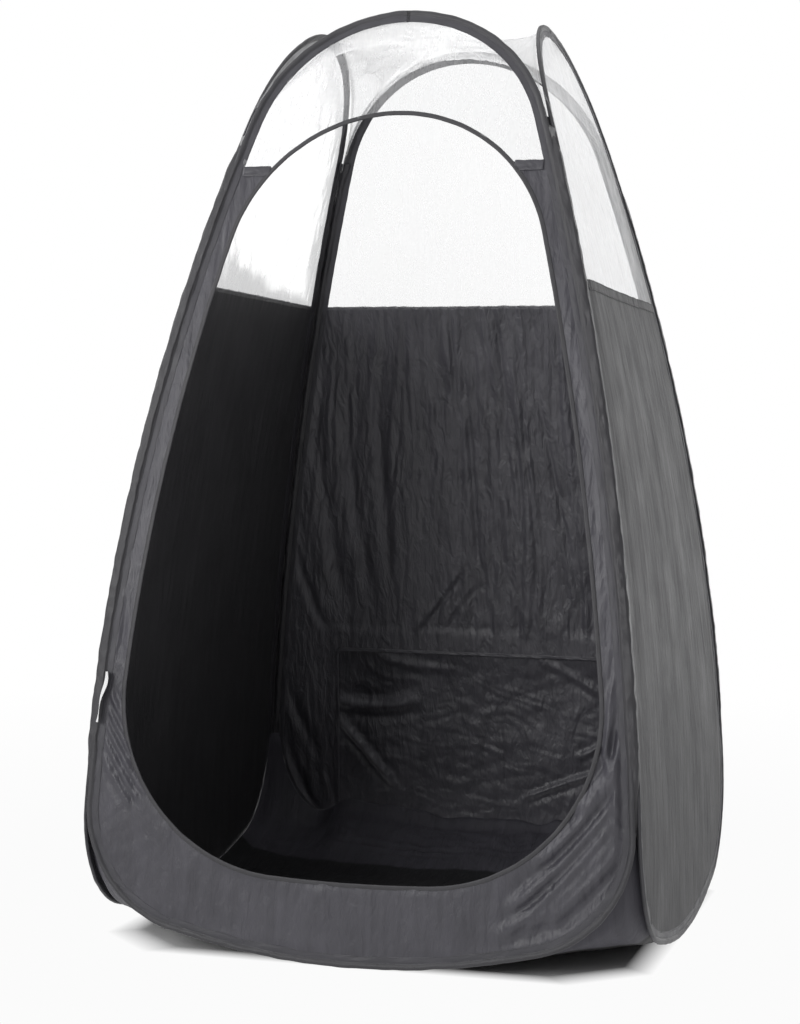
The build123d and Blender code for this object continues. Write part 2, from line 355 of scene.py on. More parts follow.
class Nodes:
    """A material's or world's node tree with short calls for the nodes used here."""

    def __init__(self, owner, output="ShaderNodeOutputMaterial"):
        self.owner = owner
        owner.use_nodes = True
        self.tree = owner.node_tree
        self.tree.nodes.clear()
        self.out = self.add(output)

    def give(self, socket, value):
        """Links another node's output to a socket, or sets the socket to a value."""
        if hasattr(value, "is_output"):
            self.tree.links.new(value, socket)
        else:
            socket.default_value = value

    def add(self, kind, inputs=None, **settings):
        node = self.tree.nodes.new(kind)
        for key, value in settings.items():
            setattr(node, key, value)
        for key, value in (inputs or {}).items():
            self.give(node.inputs[key], value)
        return node

    def shader(self, kind, **inputs):
        """A shader's output; an input's name is written with _ for a space."""
        return self.add(kind, {key.replace("_", " "): value for key, value in inputs.items()}).outputs[0]

    def mix_shaders(self, share, first, second):
        return self.add("ShaderNodeMixShader", {0: share, 1: first, 2: second}).outputs[0]

    def surface(self, shader):
        self.give(self.out.inputs["Surface"], shader)
        return self.owner

    def coords(self, scale=(1, 1, 1), rotation=0.0):
        flat = self.add("ShaderNodeUVMap", uv_map="cloth").outputs["UV"]
        inputs = {"Vector": flat, "Scale": scale, "Rotation": (0, 0, rotation)}
        return self.add("ShaderNodeMapping", inputs).outputs["Vector"]

    def split(self, vector):
        return self.add("ShaderNodeSeparateXYZ", {0: vector}).outputs

    def noise(self, vector, scale, detail=3.0, roughness=0.5, distortion=0.0):
        inputs = {"Vector": vector, "Scale": scale, "Detail": detail, "Roughness": roughness}
        inputs["Distortion"] = distortion
        return self.add("ShaderNodeTexNoise", inputs).outputs["Fac"]

    def wave(self, vector, scale, direction="X", distortion=0.4):
        inputs = {"Vector": vector, "Scale": scale, "Distortion": distortion, "Detail": 1.0}
        return self.add("ShaderNodeTexWave", inputs, bands_direction=direction).outputs["Fac"]

    def math(self, operation, a, b=0.0):
        return self.add("ShaderNodeMath", {0: a, 1: b}, operation=operation).outputs[0]

    def blend(self, a, b, share):
        """share of a, and the rest of b."""
        rest = self.math("MULTIPLY", b, round(1 - share, 2))
        return self.math("ADD", self.math("MULTIPLY", a, share), rest)

    def ramp(self, value, low, high, low_at=0.3, high_at=0.7):
        """A value that runs from low, at low_at, to high, at high_at."""
        inputs = {"Value": value, "From Min": low_at, "From Max": high_at, "To Min": low, "To Max": high}
        return self.add("ShaderNodeMapRange", inputs).outputs["Result"]

    def mix(self, share, *colours):
        """Mixes two colours, given as three numbers or as another node's output."""
        node = self.add("ShaderNodeMix", {"Factor": share}, data_type="RGBA")
        for socket, colour in zip([s for s in node.inputs if s.type == "RGBA"], colours):
            self.give(socket, colour if hasattr(colour, "is_output") else (*colour, 1))
        return [s for s in node.outputs if s.type == "RGBA"][0]

    def bump(self, height, distance, strength=1.0, normal=None):
        inputs = {"Height": height, "Distance": distance, "Strength": strength}
        if normal is not None:
            inputs["Normal"] = normal
        return self.add("ShaderNodeBump", inputs).outputs["Normal"]


def cloth_material(name, dark, light, rough, weave=0.0005, crumple=0.0006, sheen=0.15, crinkle=0.0,
                   gloss=0.5, other=None):
    """Woven nylon: plain weave, faint lengthwise streaks, small crumples and, with crinkle, finer folds.

    other is (where, dark, light): other tones where a function of the nodes gives 1.
    """
    m = Nodes(bpy.data.materials.new(name))
    flat = m.coords()
    streaks = m.noise(m.coords((38, 5, 1)), 1.0, 5.0, 0.55, 0.3)
    blotch = m.noise(flat, 7.0, 4.0, 0.6)
    tone = m.ramp(m.blend(streaks, blotch, 0.55), 0.0, 1.0, 0.35, 0.65)
    threads = m.math("MULTIPLY", *[m.wave(flat, 0.1 * pi / weave, way) for way in "XY"])
    fine = m.noise(m.coords((1, 0.6, 1)), 160.0, 4.0, 0.6, 0.6)
    normal = m.bump(threads, weave * 0.12, 0.5)
    normal = m.bump(fine, crumple, 0.6, normal)
    normal = m.bump(streaks, crumple * 1.5, 0.6, normal)
    if crinkle:
        broad = m.noise(m.coords((24, 7, 1), -0.1), 1.0, 3.0, 0.5, 0.8)
        narrow = m.noise(m.coords((46, 17, 1), 0.12), 1.0, 5.0, 0.55, 0.9)
        normal = m.bump(broad, crinkle * 1.6, 0.8, normal)
        normal = m.bump(narrow, crinkle, 0.8, normal)
    colour = m.mix(tone, dark, light)
    if other:
        where, other_dark, other_light = other
        colour = m.mix(where(m), colour, m.mix(tone, other_dark, other_light))
    return m.surface(m.shader(
        "ShaderNodeBsdfPrincipled",
        Base_Color=colour,
        Roughness=m.ramp(blotch, rough - 0.06, rough + 0.07),
        Sheen_Weight=sheen,
        Sheen_Roughness=0.4,
        Specular_IOR_Level=gloss,
        Normal=normal,
    ))


def film_material(name, alpha_low, alpha_high):
    """Clear soft vinyl gone a little milky, with fine wrinkles."""
    m = Nodes(bpy.data.materials.new(name))
    flat = m.coords()
    cloud = m.noise(flat, 9.0, 5.0, 0.6, 0.8)
    crease = m.noise(m.coords((60, 14, 1), 0.2), 1.0, 4.0, 0.55, 1.2)
    normal = m.bump(crease, 0.002, 0.5)
    normal = m.bump(m.noise(flat, 130.0, 3.0, 0.5, 0.6), 0.0006, 0.3, normal)
    alpha = m.ramp(m.blend(cloud, crease, 0.5), alpha_low, alpha_high, 0.35, 0.65)
    colour = m.mix(m.ramp(cloud, 0.0, 1.0), (0.95, 0.955, 0.97), (0.99, 0.99, 0.995))
    diffuse = m.shader("ShaderNodeBsdfDiffuse", Color=colour, Normal=normal)
    through = m.shader("ShaderNodeBsdfTranslucent", Color=colour, Normal=normal)
    milk = m.mix_shaders(0.5, diffuse, through)
    facing = m.add("ShaderNodeLayerWeight", {"Blend": 0.5, "Normal": normal}).outputs["Facing"]
    slant = m.math("ADD", m.math("MULTIPLY", m.math("MULTIPLY", facing, facing), 1.1), 0.9)
    milky = m.mix_shaders(m.math("MULTIPLY", alpha, slant), m.shader("ShaderNodeBsdfTransparent"), milk)
    gloss = m.shader("ShaderNodeBsdfGlossy", Roughness=0.16, Normal=normal)
    fresnel = m.add("ShaderNodeFresnel", {"IOR": 1.22, "Normal": normal}).outputs[0]
    return m.surface(m.mix_shaders(m.math("MULTIPLY", fresnel, 0.3), milky, gloss))


def steel_material(name, tone):
    m = Nodes(bpy.data.materials.new(name))
    place_at = m.add("ShaderNodeTexCoord").outputs["Object"]
    stretched = m.add("ShaderNodeMapping", {"Vector": place_at, "Scale": (40, 40, 900)}).outputs["Vector"]
    grain = m.noise(stretched, 1.0, 3.0, 0.6)
    spots = m.noise(place_at, 60.0, 3.0, 0.6)
    return m.surface(m.shader(
        "ShaderNodeBsdfPrincipled",
        Base_Color=m.mix(spots, tuple(0.8 * t for t in tone), tone),
        Metallic=1.0,
        Roughness=m.ramp(grain, 0.22, 0.42),
        Normal=m.bump(grain, 0.0001, 0.4),
    ))


def fuzz_material(name, tone):
    """Hook-and-loop tape."""
    m = Nodes(bpy.data.materials.new(name))
    flat = m.coords()
    pile = m.noise(flat, 1400.0, 3.0, 0.7)
    rows = m.wave(flat, 0.1 * pi / 0.0016, "Y", 1.0)
    tuft = m.blend(pile, rows, 0.7)
    return m.surface(m.shader(
        "ShaderNodeBsdfPrincipled",
        Base_Color=m.mix(tuft, tuple(0.5 * t for t in tone), tone),
        Roughness=0.9,
        Sheen_Weight=0.5,
        Normal=m.bump(tuft, 0.0006, 0.9),
    ))


def seam_part(m):
    """1 on the flat seam tape of a sleeve, 0 on the steel's tube, which takes the darker painted shade."""
    around = m.split(m.coords())["X"]
    after_tube = m.ramp(around, 0.0, 1.0, 0.0160, 0.0172)
    return m.math("MULTIPLY", after_tube, m.ramp(around, 1.0, 0.0, 0.0442, 0.0454))


def gusset_part_past_painted_shade(m):
    """1 on the floor cloth's raised corners and along the back wall, 0 on its flat middle. The middle's black
    reaches out over the lifted cloth at each corner's foot, as painted shade on its underside.
    """
    parts = m.split(m.coords())
    x, y = parts["X"], parts["Y"]
    far = m.math("ADD", m.math("ABSOLUTE", x), m.math("ABSOLUTE", y))
    # The corners take the wall's tone only from here out; inside this the floor's black is painted shade
    # under the lifted cloth.
    corner = m.ramp(far, 0.0, 1.0, 1.035, 1.045)
    wander = m.noise(m.coords((6, 1, 1)), 1.0, 2.0)
    edge = m.math("ADD", y, m.math("MULTIPLY", wander, 0.05))
    return m.math("MAXIMUM", corner, m.ramp(edge, 0.0, 1.0, 0.420, 0.430))


WALL_TONES = (0.034, 0.0328, 0.0405), (0.054, 0.052, 0.0635)
# Painted light: the back wall's nylon is the front's cloth painted lighter, a lit copy used on the back wall,
# its vent binding and its flap.
REAR_PAINTED_LIGHT_TONES = (0.054, 0.0527, 0.0615), (0.086, 0.0838, 0.0965)
SIDE_TONES = (0.035, 0.0345, 0.0370), (0.052, 0.0510, 0.0545)
# Painted shade: the sleeves are the walls' nylon painted darker, a little on the seam tape and more on the
# steel's tube, for the shade along the arches.
SLEEVE_TUBE_PAINTED_SHADE_TONES = (0.020, 0.0195, 0.023), (0.034, 0.033, 0.038)
SLEEVE_SEAM_PAINTED_SHADE_TONES = (0.028, 0.0272, 0.033), (0.044, 0.0425, 0.0515)
CORNER_TONES = (0.020, 0.019, 0.022), (0.036, 0.035, 0.040)
TAPE_TONES = (0.024, 0.023, 0.026), (0.038, 0.037, 0.042)
# The floor's black tone, which also stands as painted shade on the lifted cloth at the foot of each raised
# corner.
FLOOR_AND_PAINTED_SHADE_TONES = (0.007, 0.007, 0.008), (0.013, 0.013, 0.015)
TAG_TONES = (0.72, 0.72, 0.72), (0.85, 0.85, 0.85)
THREAD_TONES = (0.012, 0.012, 0.013), (0.022, 0.022, 0.024)
MATERIALS = {
    "wall": cloth_material("wall_nylon", *WALL_TONES, 0.42, sheen=0.03, crinkle=0.0035),
    "rear": cloth_material("rear_nylon_painted_light", *REAR_PAINTED_LIGHT_TONES, 0.42, sheen=0.03, crinkle=0.006),
    "side": cloth_material("side_nylon", *SIDE_TONES, 0.58, sheen=0.01, crinkle=0.0015, gloss=0.22),
    "sleeve": cloth_material("sleeve_nylon_painted_shade", *SLEEVE_TUBE_PAINTED_SHADE_TONES, 0.5, 0.0006, 0.0004, 0.03, crinkle=0.002,
                             other=(seam_part, *SLEEVE_SEAM_PAINTED_SHADE_TONES)),
    "corner": cloth_material("corner_nylon", *CORNER_TONES, 0.5, 0.0006, 0.0004, 0.03, crinkle=0.003),
    "tape": cloth_material("edge_tape", *TAPE_TONES, 0.55, 0.0007, 0.0003, 0.03),
    "floor": cloth_material("floor_oxford_and_painted_shade", *FLOOR_AND_PAINTED_SHADE_TONES, 0.65, 0.0009, 0.0008, 0.02, crinkle=0.004,
                            gloss=0.3, other=(gusset_part_past_painted_shade, *WALL_TONES)),
    "tag": cloth_material("tag_ribbon", *TAG_TONES, 0.5, 0.0004, 0.0002),
    "thread": cloth_material("thread", *THREAD_TONES, 0.45, 0.0003, 0.0001),
    "film": film_material("window_vinyl", 0.22, 0.34),
    "steel": steel_material("spring_steel", (0.36, 0.36, 0.37)),
    "ferrule": steel_material("ferrule_steel", (0.62, 0.62, 0.63)),
    "hook": fuzz_material("hook_tape", (0.020, 0.020, 0.022)),
    "loop": fuzz_material("loop_tape", (0.030, 0.030, 0.033)),
}


# -------- sleeves and stitching

# The steel's tube, then the flat seam tape inside it.
SLEEVE_SECTION = mirrored_section([
    (0.0000, 0.0000), (0.0003, 0.0020), (0.0012, 0.0035), (0.0028, 0.0043), (0.0055, 0.0046),
    (0.0082, 0.0043), (0.0102, 0.0034), (0.0118, 0.0024), (0.0132, 0.0015), (0.0142, 0.0011),
    (0.0152, 0.0012), (0.0175, 0.0013), (0.0210, 0.0012), (0.0245, 0.0010), (0.0258, 0.0008),
    (0.0270, 0.0008), (0.0279, 0.0006), (0.0281, 0.0000),
])
STITCH_FACES = [[0, 3, 4], [0, 4, 1], [1, 4, 5], [1, 5, 2], [2, 5, 3], [3, 5, 4], [0, 1, 3], [1, 2, 3]]
STITCH_PITCH = 0.0048
STITCH_LENGTH = 0.0034
STITCH_WIDTH = 0.0009
STITCH_HEIGHT = 0.0005


def sleeve(side, seed):
    s = HOOP.loop(SLEEVE_STEPS)
    d, n = SLEEVE_SECTION.T
    pucker = 0.35 * fbm(s[:, None] * 55, d[None] * 120, seed)
    flat_part = ease(d, 0.012, 0.016)[None]
    swell = 1 + pucker * (0.25 + 0.55 * flat_part)
    wave = 0.0012 * noise(s[:, None] * 22, d[None] * 30, seed + 5) * flat_part
    gather = 0.0009 * noise(s[:, None] * 34, 0.0, seed + 7) + 0.0009 * noise(s[:, None] * 15, 0.5, seed + 8)
    depth = d[None] + 0.0006 * noise(s[:, None] * 30, 0.0, seed + 9) * flat_part + gather * (1 - flat_part)
    points = swept(side, HOOP.at(s), HOOP.inward(s), depth, n[None] * swell + wave)
    obj = lofted(f"{side}_sleeve", points, run_length(SLEEVE_SECTION), s, True, "sleeve")
    finish_piece(obj, BODY[side], "sleeve_cloth", f"{side}_hoop_sleeve")


def stitching(name, side, slot, paths):
    """Small raised stitches along paths of (u, z, outwards) on a panel. A negative outwards is inside."""
    centres, along, out = [], [], []
    for path in paths:
        points = place(side, *path.T)
        s = run_length(points)
        at = np.arange(STITCH_PITCH / 2, s[-1], STITCH_PITCH)
        centres.append(read_along(at, s, points))
        along.append(read_along(at + 0.001, s, points) - read_along(at - 0.001, s, points))
        lifted = path + [0, 0, 0.001] * np.sign(path[:, 2:] + 1e-9)
        out.append(read_along(at, s, place(side, *lifted.T) - points))
    centres, along, out = np.vstack(centres), np.vstack(along), np.vstack(out)
    along /= np.linalg.norm(along, axis=1)[:, None]
    out /= np.linalg.norm(out, axis=1)[:, None]
    half, wide = along * STITCH_LENGTH / 2, np.cross(out, along) * STITCH_WIDTH / 2
    low, top = (-half, wide, half, -wide), (-half * 0.35, half * 0.35)
    corners = [centres + step for step in low] + [centres + out * STITCH_HEIGHT + step for step in top]
    points = np.stack(corners, 1).reshape(-1, 3)
    count = np.arange(len(centres))
    faces = (6 * count[:, None, None] + np.array(STITCH_FACES)).reshape(-1, 3)
    uv = np.stack([np.tile(np.linspace(0, 0.004, 6), len(count)), np.repeat(count * 0.004, 6)], 1)
    finish_piece(build(name, points, faces, uv, "thread"), BODY[side], slot)


def sleeve_stitching(side):
    """Two rows on each face of the sleeve: beside the steel's tube and along the tape's edge."""
    s = HOOP.loop(900)
    paths = []
    for depth, height in ((0.0142, 0.0011), (0.0258, 0.0008)):
        at = HOOP.at(s) + HOOP.inward(s) * depth
        paths += [np.column_stack([at, np.full(len(s), way * height)]) for way in (1, -1)]
    stitching(f"{side}_sleeve_stitching", side, "sleeve_cloth", paths)


for seed, side in enumerate(TURNS):
    sleeve(side, 40 * seed)
    sleeve_stitching(side)


# -------- walls

def edge_fade(u, z, reach=0.05):
    """0 at the sleeve, 1 away from it. Below corner_top the side is taken as upright."""
    corner_top, foot_end = 0.34, 0.595
    side_gap = EDGE.half_width(np.maximum(z, corner_top)) - np.abs(u)
    foot_gap = z - EDGE.foot(np.minimum(np.abs(u), foot_end))
    return ease(side_gap, 0.004, reach) * ease(foot_gap, 0.004, reach)


def crease(u, z, first, middle, last, width, depth, tail=0.25):
    """A fold along a smooth curve through three points: a crest with a hollow on each side, one deeper."""
    (x0, z0), (x1, z1), (x2, z2) = first, middle, last
    t = np.linspace(0, 1, 24)
    px = (1 - t) ** 2 * x0 + 2 * t * (1 - t) * (2 * x1 - (x0 + x2) / 2) + t * t * x2
    pz = (1 - t) ** 2 * z0 + 2 * t * (1 - t) * (2 * z1 - (z0 + z2) / 2) + t * t * z2
    best = np.full(u.shape, 1e9)
    where = np.zeros(u.shape)
    sign = np.zeros(u.shape)
    for k in range(23):
        ax, az, bx, bz = px[k], pz[k], px[k + 1] - px[k], pz[k + 1] - pz[k]
        f = np.clip(((u - ax) * bx + (z - az) * bz) / (bx * bx + bz * bz), 0, 1)
        dx, dz = u - ax - f * bx, z - az - f * bz
        d = np.hypot(dx, dz)
        near = d < best
        best = np.where(near, d, best)
        where = np.where(near, t[k] + f / 23, where)
        sign = np.where(near, np.sign(bx * dz - bz * dx), sign)
    x = sign * best / width
    shape = np.exp(-x * x) - 0.45 * np.exp(-((x - 1.7) / 1.1) ** 2) - 0.25 * np.exp(-((x + 1.9) / 1.3) ** 2)
    fade = ease(where, 0.0, tail) * (1 - ease(where, 1 - tail, 1.0))
    return depth * shape * fade


def panel_sheet(name, side, blocks, relief, look, body, slot, node):
    """A sheet of a panel from blocks of (u, z), pushed out by relief(u, z). Film keeps no thickness."""
    faces, first = [], 0
    for block in blocks:
        faces.append(grid_faces(*block.shape[:2], first=first))
        first += block.shape[0] * block.shape[1]
    uv = np.vstack([block.reshape(-1, 2) for block in blocks])
    u, z = uv.T
    obj = build(name, place(side, u, z, relief(u, z)), np.vstack(faces), uv, look)
    if len(blocks) > 1:
        merge(obj)
    if look != "film":
        thicken(obj)
    finish_piece(obj, body, slot, node)


def wavy_top(u, height, seed, amount=0.0012):
    return height + amount * noise(u * 60, 0.3, seed) + 0.6 * amount * noise(u * 140, 0.7, seed + 3)


def plain_wall_blocks(seed, columns=130, rows=170):
    """One block: foot along the hoop's belly, sides up the hoop, level top."""
    top_s = float(EDGE.s_at_height(WALL_TOP))
    foot = EDGE.at(np.linspace(-EDGE.corner_s, EDGE.corner_s, columns))
    right = EDGE.at(np.linspace(EDGE.corner_s, top_s, rows))
    left = right * [-1, 1]
    top_u = np.linspace(left[-1, 0], right[-1, 0], columns)
    top = np.stack([top_u, wavy_top(top_u, WALL_TOP, seed)], 1)
    top[0], top[-1] = left[-1], right[-1]
    return [coons(foot, top, left, right)]


def side_relief(seed, strength=1.0):
    """Fine upright streaks on a slow swell."""
    def relief(u, z):
        wide = np.interp(z, [0.2, WALL_TOP], [1.0, 0.72])
        q = u / wide
        soft = 0.0030 * noise(q * 3.2, z * 1.1, seed) + 0.0016 * noise(q * 9, z * 1.3, seed + 1)
        fine = 0.00055 * ridges(q * 26, z * 1.7, seed + 2) + 0.00028 * ridges(q * 60, z * 5, seed + 3)
        top = np.exp(-(WALL_TOP - z) / 0.05) * 0.0011 * noise(u * 75, z * 8, seed + 4)
        return (soft + strength * fine) * edge_fade(u, z) + top
    return relief


BACK_FOLDS = (
    # Long slants down the left of the wall, seen from the doorway.
    ((0.57, 0.90), (0.51, 0.73), (0.45, 0.58), 0.012, 0.0050),
    ((0.59, 0.56), (0.56, 0.42), (0.47, 0.24), 0.014, 0.0050),
    ((0.59, 0.33), (0.53, 0.18), (0.47, 0.08), 0.012, 0.0060),
    # A fan that spreads up from the opening.
    ((0.48, 1.25), (0.45, 0.95), (0.40, 0.64), 0.020, 0.0060),
    ((0.39, 1.30), (0.37, 1.00), (0.33, 0.65), 0.016, 0.0050),
    ((0.30, 1.35), (0.29, 1.05), (0.27, 0.64), 0.014, 0.0050),
    ((0.06, 1.38), (0.04, 1.05), (0.03, 0.78), 0.008, 0.0040),
    ((-0.12, 1.35), (-0.19, 1.00), (-0.26, 0.64), 0.009, 0.0045),
    ((-0.24, 1.38), (-0.34, 1.00), (-0.40, 0.64), 0.008, 0.0045),
    # Pulls at the hinge tape.
    ((0.06, 0.80), (0.14, 0.69), (0.21, 0.60), 0.007, 0.0055),
    ((0.02, 0.76), (0.08, 0.69), (0.13, 0.61), 0.006, 0.0035),
)


def back_relief(u, z):
    """Upright puckers over the whole wall, busiest on one side, with the folds and a calm vent edge."""
    wide = np.interp(z, [0.2, 0.6, WALL_TOP], [1.0, 1.0, 0.74])
    q = u / wide
    busy = 0.45 + 0.55 * ease(q, 0.30, -0.15) + 0.35 * noise(q * 3, z * 2, 211)
    drift = 0.015 * noise(q * 5, z * 3, 209)
    fold = 0.0051 * ridges((q + drift) * 24, z * 2.6, 201) + 0.0021 * ridges((q + drift) * 55, z * 7, 202)
    small = 0.0011 * fbm(q * 60, z * 20, 203)
    soft = 0.0045 * noise(q * 4, z * 1.2, 204) + 0.0036 * noise(q * 11, z * 1.6, 205)
    pinch = 0.0020 * ridges(u * 30 + noise(u * 9, 0.0, 208), z * 22, 206)
    over_vent = np.exp(-(((z - 0.625) / 0.022) ** 2)) * pinch
    top = np.exp(-(WALL_TOP - z) / 0.06) * 0.0018 * noise(u * 70, z * 6, 207)
    pulls = sum(crease(u, z, *fold_line) for fold_line in BACK_FOLDS)
    level = (fold * busy + small * busy + soft + over_vent + pulls) * edge_fade(u, z, 0.025)
    gap_u, gap_z = np.abs(u) - VENT_HALF, np.maximum(VENT_BOTTOM - z, z - VENT_TOP)
    near_vent = ease(np.maximum(gap_u, gap_z), 0.004, 0.03)
    # Calm under the hinge and its tape, so that the flap can swing clear.
    calm_u, calm_z = np.abs(u) - (FLAP_HALF + 0.013), np.abs(z - (HINGE_Z + HINGE_TAPE_Z) / 2) - 0.018
    near_hinge = ease(np.maximum(calm_u, calm_z), 0.0, 0.03)
    return level * near_vent * near_hinge + top


def back_wall_blocks():
    """Eight blocks round the vent opening."""
    middle_columns, strip_columns = 150, 26
    rows = (12, 64, 150)
    vent, gap = VENT_HALF + 0.0002, 0.0002
    belly_end = float(EDGE.s[ARC_STEPS])
    side_s = [EDGE.corner_s, *[float(EDGE.s_at_height(z)) for z in (0.36, VENT_TOP, WALL_TOP)]]
    top_edge = float(EDGE.half_width(WALL_TOP))
    vent_width = float(EDGE.half_width(VENT_TOP))
    inner = top_edge * vent / vent_width
    # The vent's side, carried down to the foot and up to the wall's top.
    column = np.array([
        (vent, float(EDGE.foot(vent))), (vent, VENT_BOTTOM - gap), (vent, VENT_TOP + gap), (inner, WALL_TOP),
    ])

    def top_line(a, b, count):
        u = np.linspace(a, b, count)
        z = wavy_top(u, WALL_TOP, 31)
        z[np.abs(np.abs(u) - top_edge) < 1e-6] = WALL_TOP
        return np.stack([u, z], 1)

    strips = []
    for k in range(3):
        # The strip on the right, below, beside or above the vent.
        left = np.linspace(column[k], column[k + 1], rows[k])
        if k == 2:
            # Above the vent the line keeps its share of the wall's width.
            left[:, 0] = vent * EDGE.half_width(left[:, 1]) / vent_width
        right = EDGE.at(np.linspace(side_s[k], side_s[k + 1], rows[k]))
        foot = np.linspace(left[0], right[0], strip_columns)
        top = np.linspace(left[-1], right[-1], strip_columns)
        if k == 0:
            foot = EDGE.at(np.linspace(belly_end, EDGE.corner_s, strip_columns))
        if k == 2:
            top = top_line(inner, top_edge, strip_columns)
        left[0], left[-1] = foot[0], top[0]
        right[0], right[-1] = foot[-1], top[-1]
        strips.append(coons(foot, top, left, right))
    mirrored = [block[:, ::-1] * [-1, 1] for block in strips]
    mirrored[2][-1, :, 1] = top_line(-top_edge, -inner, strip_columns)[:, 1]
    foot = EDGE.at(np.linspace(-belly_end, belly_end, middle_columns))
    left, right = mirrored[0][:, -1], strips[0][:, 0]
    low = coons(foot, np.linspace(left[-1], right[-1], middle_columns), left, right)
    left, right = mirrored[2][:, -1], strips[2][:, 0]
    top = top_line(-inner, inner, middle_columns)
    top[0], top[-1] = left[-1], right[-1]
    high = coons(np.linspace(left[0], right[0], middle_columns), top, left, right)
    return [*strips, *mirrored, low, high]


def front_wall_block():
    """The frame round the doorway, from the doorway's edge out to the hoop's."""
    split_z = 0.62
    edges = []
    for outline in (DOOR, EDGE):
        low = outline.at(np.linspace(0, float(outline.s_at_height(split_z)), 170))
        high = outline.at(outline.s_at_height(np.linspace(split_z, FRONT_WALL_TOP, 150)[1:]))
        right = np.vstack([low, high])
        edges.append(np.vstack([right[:0:-1] * [-1, 1], right]))
    return [between(*edges, 34)]


def front_folds():
    """Every fold of the front cloth: three points on the panel, a width and a depth."""
    for k in range(6):
        # The fan from the right seam to the sill; its middle folds are the longest and deepest.
        middle = sin(pi * min(k + 0.3, 5) / 6)
        run = 0.09 + 0.19 * middle
        fall = 1.15 * run + 0.05 / (1 + k)
        u, z = 0.600, 0.535 - 0.041 * k
        yield (u, z), (u - 0.34 * run, z - 0.44 * fall), (u - run, z - fall), 0.013, 0.013 + 0.012 * middle
    for k in range(5):
        # Short slanting creases beside the doorway on the left.
        u, z, run = -0.594 + 0.003 * k, 0.450 + 0.034 * k, 0.090 + 0.012 * k
        yield (u, z), (u + 0.48 * run, z - 0.80 * run), (u + run, z - 1.55 * run), 0.007, 0.0047
    for points in (
        ((0.59, 0.74), (0.56, 0.56), (0.54, 0.47)),
        ((0.58, 0.70), (0.55, 0.56), (0.56, 0.43)),
        ((0.58, 0.98), (0.56, 0.86), (0.56, 0.70)),
        ((0.54, 1.32), (0.52, 1.20), (0.53, 1.06)),
        ((-0.58, 0.86), (-0.56, 0.76), (-0.57, 0.64)),
    ):
        # Upright creases in the narrow bands beside the doorway.
        yield *points, 0.007, 0.0055


def front_relief(u, z):
    """The folds on a slow swell with faint streaks, held down at the doorway's edge."""
    folds = sum(crease(u, z, *fold_line, 0.14) for fold_line in front_folds())
    soft = 0.0028 * noise(u * 4, z * 2.2, 301) + 0.0014 * noise(u * 12, z * 3, 302)
    streak = 0.0010 * ridges(u * 40, z * 2.5, 303)
    slant = u - 0.9 * z
    fine = 0.0007 * ridges(slant * 26, (u + z) * 6, 304) * ease(np.abs(u), 0.35, 0.55) * ease(z, 0.9, 0.5)
    side_gap = np.abs(u) - DOOR.half_width(np.maximum(z, 0.5))
    sill_gap = DOOR.foot(np.minimum(np.abs(u), 0.555)) - z
    near_door = 0.3 + 0.7 * ease(np.where(z > 0.5, side_gap, sill_gap), 0.0, 0.02)
    mottle = 0.0004 * ridges(u * 30 + 0.5 * noise(u * 20, z * 20, 306), z * 21, 307)
    top = np.exp(-np.abs(FRONT_WALL_TOP - z) / 0.03) * 0.0008 * noise(u * 75, z * 8, 305)
    return (folds + soft + streak + fine + mottle) * edge_fade(u, z, 0.020) * near_door + top


# The back wall takes the lit copy of the nylon, painted lighter than the front's.
CLOTH = {"front": "wall", "back": "rear", "left": "side", "right": "side"}
RELIEF = {
    "left": side_relief(101, 1.3),
    "right": side_relief(121, 0.7),
    "back": back_relief,
    "front": front_relief,
}
WALLS = {
    "left": plain_wall_blocks(11),
    "right": plain_wall_blocks(21),
    "back": back_wall_blocks(),
    "front": front_wall_block(),
}
for side, blocks in WALLS.items():
    panel_sheet(f"{side}_wall_cloth", side, blocks, RELIEF[side], CLOTH[side], BODY[side], "wall_cloth",
                f"{side}_wall")


# -------- films

def over_apex(right):
    """An edge from the left end over the apex to the right end, given its right half from the end up."""
    return np.vstack([right * [-1, 1], right[-2::-1]])


def film_block(columns=90, rows=70):
    """Film of a plain panel: straight foot, sides and top along the arch, which meet at turn_s."""
    foot_s = float(EDGE.s_at_height(WALL_TOP))
    turn_s = foot_s + 0.62 * (EDGE.length - foot_s)
    right = EDGE.at(np.linspace(foot_s, turn_s, rows))
    left = right * [-1, 1]
    top = over_apex(EDGE.at(np.linspace(turn_s, EDGE.length, columns // 2 + 1)))
    return [coons(np.linspace(left[0], right[0], len(top)), top, left, right)]


def front_film_block():
    """Film over the doorway's top, from the doorway's edge out to the hoop's."""
    edges = []
    for outline in (DOOR, EDGE):
        s = np.linspace(float(outline.s_at_height(FRONT_WALL_TOP)), outline.length, 81)
        edges.append(over_apex(outline.at(s)))
    return [between(*edges, 22)]


def film_relief(side, seed, foot, amount=1.0):
    """Loose ripples of the film, which leaves the top of the cloth where the two are sewn."""
    def relief(u, z):
        soft = 0.0034 * noise(u * 5, z * 4, seed) + 0.0018 * noise(u * 14, z * 9, seed + 1)
        fold = 0.0009 * ridges((u + 0.3 * z) * 22, (z - 0.2 * u) * 7, seed + 2)
        fold = fold + 0.0006 * ridges((u - 0.5 * z) * 34, z * 14, seed + 3)
        gap = np.minimum(EDGE.half_width(z) - np.abs(u), 0.1)
        rise = z - foot
        sewn = RELIEF[side](u, np.full_like(z, foot)) * np.exp(-np.maximum(rise, 0) / 0.02)
        return amount * (soft + fold) * ease(gap, 0.0, 0.04) * ease(rise, 0.0, 0.06) + sewn
    return relief


FILM_SEEDS = {"left": 401, "right": 421, "back": 441, "front": 471}
for side, seed in FILM_SEEDS.items():
    blocks, relief = film_block(), film_relief(side, seed, WALL_TOP)
    if side == "front":
        blocks, relief = front_film_block(), film_relief(side, seed, FRONT_WALL_TOP, 0.7)
    panel_sheet(f"{side}_film", side, blocks, relief, "film", BODY[side], "window_film",
                f"{side}_window_film")


# -------- tapes and bindings

